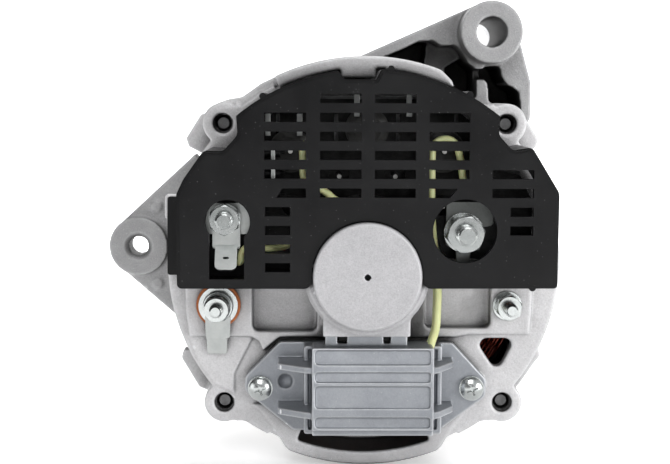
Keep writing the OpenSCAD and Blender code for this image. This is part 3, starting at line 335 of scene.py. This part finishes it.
M = {
    "cast_aluminium": cast_metal("cast_aluminium", (0.56, 0.555, 0.565), (0.68, 0.675, 0.685), (0.45, 0.64), 0.5, 0.9, (0.011, 0.36, 0.7), True, 0.35),
    "cast_aluminium_dark": cast_metal("cast_aluminium_dark", (0.33, 0.33, 0.335), (0.43, 0.43, 0.435), shade=(0.016, 0.3, 0.78), edge_light_and_wear=0.3),
    "heatsink_aluminium": cast_metal("heatsink_aluminium", (0.27, 0.285, 0.31), (0.36, 0.375, 0.4), (0.34, 0.5), 0.6, 0.4, edge_light_and_wear=0.7),
    "black_plastic": plastic("black_plastic", (0.0035, 0.0035, 0.004), (0.007, 0.007, 0.0075), (0.34, 0.46), 0.3, 0.2, 0.35),
    # dark plate: its own dark finish, painted darker still with the shade it lies in under the cover
    "dark_plate": plated("dark_plate", (0.01, 0.01, 0.01), (0.03, 0.03, 0.03), (0.4, 0.6), painted_light=(0.12, 0.125, 0.122)),
    "grey_plate": plated("grey_plate", (0.24, 0.245, 0.25), (0.36, 0.365, 0.37), (0.34, 0.5), (1, 1, 8)),
    "bright_zinc": plated("bright_zinc", (0.46, 0.485, 0.48), (0.56, 0.58, 0.575), (0.2, 0.27), None, 0.008),
    "tinned": plated("tinned", (0.38, 0.395, 0.39), (0.46, 0.475, 0.465), (0.3, 0.42), None, 0.01),
    "diode_case": diode_mat("diode_case"),
    "bolt_steel": plated("bolt_steel", (0.1, 0.1, 0.1), (0.2, 0.2, 0.205), (0.3, 0.48), None, 0.05),
    "lamination": laminated("lamination"),
    "forged_steel": cast_metal("forged_steel", (0.09, 0.085, 0.08), (0.17, 0.16, 0.15), (0.35, 0.6), 0.8),
    "turned_steel": plated("turned_steel", (0.45, 0.45, 0.46), (0.62, 0.62, 0.63), (0.22, 0.4), (1, 12, 1)),
    "bearing_steel": plated("bearing_steel", (0.66, 0.66, 0.68), (0.78, 0.78, 0.8), (0.08, 0.18)),
    "steel_sheet": plated("steel_sheet", (0.42, 0.42, 0.41), (0.62, 0.62, 0.6), (0.3, 0.5)),
    "pulley_steel": plated("pulley_steel", (0.06, 0.06, 0.064), (0.088, 0.088, 0.094), (0.36, 0.5), (1, 10, 1), 0.06),
    "copper": enamel_copper("copper"),
    "ring_copper": plated("ring_copper", (0.62, 0.3, 0.17), (0.8, 0.45, 0.28), (0.15, 0.3), (1, 14, 1)),
    "cage_brass": plated("cage_brass", (0.5, 0.36, 0.14), (0.68, 0.52, 0.24), (0.25, 0.4)),
    "lead_yellow": insulation("lead_yellow", (0.62, 0.65, 0.3), (0.76, 0.79, 0.42)),
    "fibre": fibre_mat("fibre"),
    "carbon": plastic("carbon", (0.02, 0.018, 0.016), (0.06, 0.045, 0.035), (0.5, 0.7)),
    "bobbin_plastic": plastic("bobbin_plastic", (0.5, 0.46, 0.34), (0.62, 0.57, 0.44)),
    "spring_steel": plated("spring_steel", (0.4, 0.4, 0.39), (0.6, 0.6, 0.58), (0.2, 0.35)),
}
slots = {s["node"]: s["material_slot"] for s in frame["record"]["subparts"]}
for name, ob in nodes.items():
    ob.data.materials.clear()
    ob.data.materials.append(M[slots[name]])

# ---------------------------------------------------------------- shape helpers
BODY = {n: b for b, ns in frame["record"]["behaviour"]["bodies"].items() for n in ns}


def put(name, me, node=None, body=None, slot=None, stands_for=()):
    """Links a finished mesh as a piece that rides with its node's body."""
    ob = bpy.data.objects.new(name, me)
    bpy.context.scene.collection.objects.link(ob)
    slot = slot or slots[node]
    me.materials.clear()
    me.materials.append(M[slot])
    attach(ob, body or BODY[node])
    if stands_for:
        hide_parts(*stands_for)
    return ob


def evaluated(me, *mods):
    """The mesh after these modifiers, as a new mesh."""
    ob = bpy.data.objects.new("tmp", me)
    bpy.context.scene.collection.objects.link(ob)
    for kind, settings in mods:
        m = ob.modifiers.new(kind.lower(), kind)
        for k, v in settings.items():
            setattr(m, k, v)
    deps = bpy.context.evaluated_depsgraph_get()
    out = bpy.data.meshes.new_from_object(ob.evaluated_get(deps))
    bpy.data.objects.remove(ob)
    return out


def clean_copy(node, flat=0.6):
    """The node's mesh, welded, with the triangles of each flat face joined."""
    bm = bmesh.new()
    bm.from_mesh(nodes[node].data)
    bmesh.ops.remove_doubles(bm, verts=bm.verts, dist=2e-6)
    if flat:
        bmesh.ops.dissolve_limit(bm, angle_limit=math.radians(flat), verts=bm.verts, edges=bm.edges)
    me = bpy.data.meshes.new(node + "_clean")
    bm.to_mesh(me)
    bm.free()
    return me


def cast_copy(node, name, voxel, rounds=4, faces=90000):
    """A cast part: the same shape with every edge and corner softened."""
    me = clean_copy(node, 0)
    out = evaluated(me, ("REMESH", dict(mode="VOXEL", voxel_size=voxel * MM, adaptivity=0.0)),
                    ("SMOOTH", dict(factor=0.5, iterations=rounds)))
    n = len(out.polygons)
    if n > faces:
        out = evaluated(out, ("DECIMATE", dict(decimate_type="COLLAPSE", ratio=faces / n)))
    for p in out.polygons:
        p.use_smooth = True
    print("cast", name, n, len(out.polygons))
    return put(name, out, node, stands_for=(node,))


def crisp_copy(node, name, width, segments=2, flat=0.6, angle=30):
    """A moulded or machined part: the same shape with a small round on its edges."""
    me = clean_copy(node, flat)
    out = evaluated(me, ("BEVEL", dict(width=width * MM, segments=segments, limit_method="ANGLE",
                                       angle_limit=math.radians(angle), use_clamp_overlap=True, harden_normals=False)))
    for p in out.polygons:
        p.use_smooth = True
    out.set_sharp_from_angle(angle=math.radians(46))
    out = evaluated(out, ("WEIGHTED_NORMAL", dict(mode="FACE_AREA", weight=100, keep_sharp=True)))
    print("crisp", name, len(out.polygons))
    return put(name, out, node, stands_for=(node,))


def mesh_from(name, verts, faces, smooth=True):
    me = bpy.data.meshes.new(name)
    me.from_pydata([tuple(v) for v in verts], [], faces)
    me.update()
    bm = bmesh.new()
    bm.from_mesh(me)
    bmesh.ops.recalc_face_normals(bm, faces=bm.faces)
    bm.to_mesh(me)
    bm.free()
    for p in me.polygons:
        p.use_smooth = smooth
    return me


def catmull(pts, k):
    out = []
    n = len(pts)
    q = [Vector(p) for p in pts]
    for i in range(n - 1):
        p0, p1, p2, p3 = q[max(i - 1, 0)], q[i], q[i + 1], q[min(i + 2, n - 1)]
        for j in range(k):
            t = j / k
            out.append(0.5 * ((2 * p1) + (p2 - p0) * t + (2 * p0 - 5 * p1 + 4 * p2 - p3) * t * t + (3 * p1 - p0 - 3 * p2 + p3) * t ** 3))
    out.append(q[-1])
    return out


def sweep(paths, sides=12):
    """Round tubes along (points, radius) in drawing coordinates, with closed ends."""
    verts, faces = [], []
    for pts, r in paths:
        base = len(verts)
        n = len(pts)
        up = None
        for i in range(n):
            t = (pts[min(i + 1, n - 1)] - pts[max(i - 1, 0)]).normalized()
            if up is None:
                up = Vector((0, 0, 1)) if abs(t.z) < 0.9 else Vector((0, 1, 0))
            u = t.cross(up).normalized()
            up = u.cross(t)
            rr = r(i / (n - 1)) if callable(r) else r
            for j in range(sides):
                a = 2 * math.pi * j / sides
                q = pts[i] + (u * math.cos(a) + up * math.sin(a)) * rr
                verts.append(P(*q))
        for i in range(n - 1):
            for j in range(sides):
                k = (j + 1) % sides
                faces.append((base + i * sides + j, base + i * sides + k, base + (i + 1) * sides + k, base + (i + 1) * sides + j))
        faces.append(tuple(base + j for j in reversed(range(sides))))
        faces.append(tuple(base + (n - 1) * sides + j for j in range(sides)))
    return verts, faces


def thread(cx, cy, r, pitch, z0, z1, depth=None, tip=0.7, sides=48, per=10, plain=None):
    """A threaded rod along z with a chamfered outer end."""
    depth = depth or 0.58 * pitch
    rows = max(2, int((z1 - z0) / pitch * per))
    verts, faces = [], []
    for i in range(rows + 1):
        z = z0 + (z1 - z0) * i / rows
        for j in range(sides):
            th = 2 * math.pi * j / sides
            ph = (z / pitch - th / (2 * math.pi)) % 1.0
            tri = abs(2 * ph - 1)
            h = min(1.0, max(0.0, (tri - 0.12) / 0.72))
            f = min(1.0, (z - z0) / pitch * 0.8)
            if plain is not None and z < plain:
                f = 0.0
            rr = r - depth * (1 - h) * f
            end = z1 - z
            if end < tip:
                rr = min(rr, r - (tip - end) * 1.0)
            verts.append(P(cx + rr * math.cos(th), cy + rr * math.sin(th), z))
    for i in range(rows):
        for j in range(sides):
            k = (j + 1) % sides
            faces.append((i * sides + j, i * sides + k, (i + 1) * sides + k, (i + 1) * sides + j))
    faces.append(tuple(reversed(range(sides))))
    faces.append(tuple(rows * sides + j for j in range(sides)))
    return verts, faces


def prism(cx, cy, r, z0, z1, n=6, turn=0.0, edge=0.3):
    """A closed prism with chamfered ends."""
    verts, faces = [], []
    rows = [(r - edge, z0), (r, z0 + edge), (r, z1 - edge), (r - edge, z1)]
    for rr, z in rows:
        for j in range(n):
            a = 2 * math.pi * j / n + math.radians(turn)
            verts.append(P(cx + rr * math.cos(a), cy + rr * math.sin(a), z))
    for i in range(3):
        for j in range(n):
            k = (j + 1) % n
            faces.append((i * n + j, i * n + k, (i + 1) * n + k, (i + 1) * n + j))
    faces.append(tuple(reversed(range(n))))
    faces.append(tuple(3 * n + j for j in range(n)))
    return verts, faces


def join(*parts):
    verts, faces = [], []
    for v, f in parts:
        b = len(verts)
        verts += v
        faces += [tuple(b + q for q in g) for g in f]
    return verts, faces


# ---------------------------------------------------------------- castings, mouldings and fasteners
cast_copy("rear_housing", "rear_housing_casting", 0.42, 5, 95000)
cast_copy("drive_end_bracket", "drive_end_bracket_casting", 0.5, 6, 90000)
cast_copy("regulator_heatsink", "regulator_heatsink_casting", 0.27, 4, 70000)
crisp_copy("rear_cover", "rear_cover_moulding", 0.28, 2)
for n, w in (("output_nut", 0.22), ("exciter_nut", 0.16), ("terminal_nuts", 0.14), ("output_washers", 0.12), ("terminal_washers", 0.12),
             ("exciter_terminal", 0.14), ("output_bus", 0.2), ("phase_terminal_plate", 0.12), ("regulator_screws", 0.14),
             ("fibre_washer", 0.25), ("terminal_block", 0.3), ("positive_heatsink", 0.15), ("negative_heatsink", 0.15),
             ("pulley_nut", 0.4), ("brush_holder", 0.3), ("phase_terminals", 0.1), ("fan", 0.4), ("pulley", 0.5), ("pivot_sleeve", 0.3),
             ("bearing_retainer", 0.2), ("rotor_spacer", 0.3)):
    crisp_copy(n, n + "_finished", w)

# ---------------------------------------------------------------- studs with cut threads
for n, parts in {
    "output_stud": (thread(28, 12.3, 2.99, 1.0, 3.6, 33.4, 0.55, 0.8), prism(28, 12.3, 5.0, 1.6, 3.8)),
    "exciter_stud": (thread(-41, 16.2, 2.49, 0.8, 7.8, 31.5, 0.45, 0.7), prism(-41, 16.2, 4.0, 6.4, 7.9, 24, 0, 0.2)),
    "phase_stud": (thread(-44.5, -12.1, 1.98, 0.7, -5.7, 17.0, 0.38, 0.6, 36), prism(-44.5, -12.1, 3.6, -8, -5.6, 24, 0, 0.2),
                   prism(-44.5, -12.1, 4.6, 5.9, 6.8, 32, 0, 0.2), prism(-44.5, -12.1, 4.0, 6.8, 10.1, 32, 0, 0.4)),
    "ground_stud": (thread(43.8, -12.2, 1.98, 0.7, -3.8, 13.7, 0.38, 0.6, 36),),
    "through_bolts": tuple(q for sx in (-1, 1) for sy in (-1, 1) for q in (
        thread(sx * 43.13, sy * 43.13, 2.45, 0.8, -87.0, -3.4, 0.42, 0.75, 32, 8, -40.0),
        prism(sx * 43.13, sy * 43.13, 4.62, -91, -88, 6, 0, 0.35), prism(sx * 43.13, sy * 43.13, 5.0, -88, -87, 40, 0, 0.2))),
}.items():
    v, f = join(*parts)
    me = mesh_from(n + "_thread", v, f)
    me.set_sharp_from_angle(angle=math.radians(35))
    put(n + "_thread", me, n, stands_for=(n,))

# ---------------------------------------------------------------- leads
output_route = [(19.6, -23.4, 12.2), (20.3, -21.2, 11.9), (21.5, -18, 9.9), (21.9, -12.2, 8.9), (21.9, -6, 9.7), (21, 0, 12.5), (19.8, 8, 18.8),
                (18.9, 14, 22.1), (18.5, 20, 22.7), (18.5, 27.5, 22.7), (18.5, 34, 22.7), (18.8, 37, 22.7), (20.4, 38.9, 22.7), (23.2, 39.2, 22.7),
                (25.6, 37.4, 22.7), (26.8, 33, 22.7), (27.5, 28, 22.7), (27.9, 25, 22.5), (28.1, 23, 22.45)]
sense_route = [(-19.2, 38.6, 22.6), (-18.7, 36, 22.7), (-18.6, 31, 22.7), (-18.2, 28, 22.7), (-16.6, 26.2, 22.7), (-13.8, 25, 22.7), (-11.6, 23.6, 22.7),
               (-9.4, 21.8, 22.6), (-6, 20.8, 22.2), (0, 20.3, 21.8), (6, 19.7, 21.6), (11.6, 17.4, 21), (15.8, 13, 19.4), (18.5, 6.6, 15), (20.1, 0, 9.3),
               (21.6, -6, 6.9), (21.7, -12.2, 6.2), (21.5, -17.6, 6.4), (20.5, -20.9, 8.2), (19.3, -23.4, 9.4)]
exciter_route = [(-38, 2.4, 15), (-36.8, 3.4, 19.6), (-36.4, 6.4, 20.8), (-34, 7.8, 20.6), (-29, 7.4, 20.6), (-24, 7.8, 19.8), (-21.4, 9.6, 17.4),
                 (-20.6, 12, 13.6)]
for n, route, r in (("output_lead", output_route, 1.1), ("sense_lead", sense_route, 1.1), ("exciter_lead", exciter_route, 0.95)):
    v, f = sweep([(catmull(route, 6), r)], 16)
    put(n + "_round", mesh_from(n + "_round", v, f), n, stands_for=(n,))

# ---------------------------------------------------------------- brush springs
for n, z in (("upper_brush", 10), ("lower_brush", 2.5)):
    turns = [Vector((1.7 * math.cos(2 * math.pi * i / 44), -40.6 + 16.7 * i / 264, z + 1.7 * math.sin(2 * math.pi * i / 44))) for i in range(265)]
    v, f = sweep([(turns, 0.27)], 12)
    coil = put(n + "_spring_coil", mesh_from(n + "_spring_coil", v, f), n + "_spring", stands_for=(n + "_spring",))
    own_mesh(coil)

# ---------------------------------------------------------------- stator winding: wires of each coil side over a varnished core
rng = random.Random(7)


def ring_part(profile, n=96):
    """A ring turned from (radius, z) points."""
    k = len(profile)
    verts, faces = [], []
    for i in range(n):
        a = 2 * math.pi * i / n
        for r, z in profile:
            verts.append(P(r * math.cos(a), r * math.sin(a), z))
    for i in range(n):
        for j in range(k):
            a, b = i * k + j, i * k + (j + 1) % k
            c, d = ((i + 1) % n) * k + (j + 1) % k, ((i + 1) % n) * k + j
            faces.append((a, b, c, d))
    return verts, faces


def wires(z_face, out):
    """The end turns on one side; out is +1 to the rear, -1 to the front."""
    paths = []
    steps = 18
    for i in range(36):
        for k in range(6):
            u = k - 2.5
            jit = [rng.uniform(-0.22, 0.22) for _ in range(3)]
            pts = []
            for s in range(steps + 1):
                t = s / steps
                lift = math.sin(math.pi * t)
                th = math.radians(10 * i + 5 + 30 * (0.5 - 0.5 * math.cos(math.pi * t)) + u * 0.55 * (1 - lift) + jit[2])
                r = 49.3 + (1 - 2 * t) * 2.0 * (1 - 0.6 * lift) + u * 1.18 * (0.45 + 0.55 * lift) + jit[0] * lift
                h = 0.4 + 9.5 * lift ** 0.75 - 0.22 * abs(u) + jit[1] * lift
                pts.append(Vector((r * math.cos(th), r * math.sin(th), z_face + out * h)))
            paths.append((pts, 0.56))
    return sweep(paths, 6)


core = join(ring_part([(46.0, -25.7), (52.4, -25.7), (52.0, -18.0), (46.4, -18.0)]),
            ring_part([(46.4, -66.0), (52.0, -66.0), (52.4, -58.3), (46.0, -58.3)]))
bars = []
for i in range(36):
    a = math.radians(10 * i + 5)
    c, s_ = math.cos(a), math.sin(a)
    vs = []
    for z in (-60.4, -23.6):
        for r, t in ((44.0, -1.65), (53.6, -1.65), (53.6, 1.65), (44.0, 1.65)):
            vs.append(P(r * c - t * s_, r * s_ + t * c, z))
    bars.append((vs, [(0, 1, 2, 3), (7, 6, 5, 4), (0, 4, 5, 1), (1, 5, 6, 2), (2, 6, 7, 3), (3, 7, 4, 0)]))
v, f = join(core, *bars, wires(-26.0, 1), wires(-58.0, -1))
put("stator_winding_wires", mesh_from("stator_winding_wires", v, f), "stator_winding", stands_for=("stator_winding",))

# ---------------------------------------------------------------- floor, light, camera
floor_z = cad_box[0][2] - 0.0005


def studio_mat():
    m, nt, b = new_mat("studio_paper")
    g = G(nt)
    paper = g.ramp(g.noise(3, 2), [(0.3, (0.9, 0.9, 0.9)), (0.7, (0.93, 0.93, 0.93))])
    b.inputs["Roughness"].default_value = 0.9
    b.inputs["Specular IOR Level"].default_value = 0.1
    # the sweep glows behind the object, and in front of it as a low fill
    sep = nt.nodes.new("ShaderNodeSeparateXYZ")
    g.link(g.tc, sep.inputs[0])
    b.inputs["Emission Color"].default_value = (1, 1, 1, 1)
    behind = g.remap(sep.outputs[1], -0.17, -0.07, 0.0, 0.9)
    ahead = g.math("MULTIPLY", g.remap(sep.outputs[1], -0.3, -0.19, 1.1, 0.0), g.remap(sep.outputs[1], -0.75, -0.6, 0.0, 1.0))
    g.link(g.math("ADD", behind, ahead), b.inputs["Emission Strength"])
    # beyond the table's near edge the room is dark
    g.link(g.mix((0.06, 0.06, 0.06), paper, g.remap(sep.outputs[1], -0.8, -0.65, 0.0, 1.0)), b.inputs["Base Color"])
    return m


bm = bmesh.new()
prof = [(-1.6, 0.0)] + [(0.9 + 0.5 * math.sin(a), 0.5 - 0.5 * math.cos(a)) for a in [math.pi / 2 * k / 12 for k in range(13)]] + [(1.4, 2.2)]
rows = [[bm.verts.new((x, y, floor_z + z)) for y, z in prof] for x in (-2.2, 2.2)]
for k in range(len(prof) - 1):
    bm.faces.new((rows[0][k], rows[1][k], rows[1][k + 1], rows[0][k + 1]))
me = bpy.data.meshes.new("backdrop")
bm.to_mesh(me)
bm.free()
backdrop = bpy.data.objects.new("backdrop", me)
bpy.context.scene.collection.objects.link(backdrop)
me.materials.append(studio_mat())
for p in me.polygons:
    p.use_smooth = True

world = bpy.context.scene.world or bpy.data.worlds.new("studio")
bpy.context.scene.world = world
world.use_nodes = True
wt = world.node_tree
bg = wt.nodes.get("Background") or wt.nodes.new("ShaderNodeBackground")
# a soft room: bright from the upper right in front, dim from the lower left
wtc = wt.nodes.new("ShaderNodeTexCoord")
dot = wt.nodes.new("ShaderNodeVectorMath")
dot.operation = "DOT_PRODUCT"
dot.inputs[1].default_value = Vector((0.8, -0.3, 0.5)).normalized()
wt.links.new(wtc.outputs["Generated"], dot.inputs[0])
rng_n = wt.nodes.new("ShaderNodeMapRange")
rng_n.interpolation_type = "SMOOTHSTEP"
rng_n.inputs["From Min"].default_value = -0.35
rng_n.inputs["From Max"].default_value = 1.0
rng_n.inputs["To Min"].default_value = 0.06
rng_n.inputs["To Max"].default_value = 0.56
wt.links.new(dot.outputs["Value"], rng_n.inputs["Value"])
wt.links.new(rng_n.outputs[0], bg.inputs[1])
bg.inputs[0].default_value = (1, 1, 1, 1)


def area(name, loc, target, size, power, size_y=None):
    l = bpy.data.lights.new(name, "AREA")
    l.energy = power
    l.shape = "RECTANGLE"
    l.size = size
    l.size_y = size_y or size
    o = bpy.data.objects.new(name, l)
    bpy.context.scene.collection.objects.link(o)
    o.location = loc
    o.rotation_euler = (Vector(target) - Vector(loc)).to_track_quat("-Z", "Y").to_euler()
    return o


area("key", (1.15, -1.25, 0.12), (0, -0.12, 0), 0.6, 14)
area("front", (-0.1, -1.5, 1.0), (0, -0.12, 0), 0.7, 7)
area("fill", (-0.9, -0.9, 0.1), (0, -0.12, 0), 0.5, 1.6)
area("top", (0.1, -0.15, 0.8), (0, -0.1, 0), 0.6, 2)

cam = bpy.data.cameras.new("camera")
cam_ob = bpy.data.objects.new("camera", cam)
bpy.context.scene.collection.objects.link(cam_ob)
pitch, yaw, roll = math.radians(5.952), math.radians(0.832), math.radians(0.209)
fwd = Vector((math.sin(yaw) * math.cos(pitch), math.cos(yaw) * math.cos(pitch), -math.sin(pitch)))
right0 = Vector((math.cos(yaw), -math.sin(yaw), 0))
up0 = right0.cross(fwd)
right = right0 * math.cos(roll) + up0 * math.sin(roll)
up = -right0 * math.sin(roll) + up0 * math.cos(roll)
mat = Matrix(((right.x, up.x, -fwd.x, -0.01487), (right.y, up.y, -fwd.y, -0.53263), (right.z, up.z, -fwd.z, 0.05223), (0, 0, 0, 1)))
cam_ob.matrix_world = mat
cam.sensor_fit = "HORIZONTAL"
cam.sensor_width = 36
cam.lens = 71.39
cam.clip_start = 0.01
cam.clip_end = 10
bpy.context.scene.camera = cam_ob
bpy.context.scene.view_settings.view_transform = "Standard"
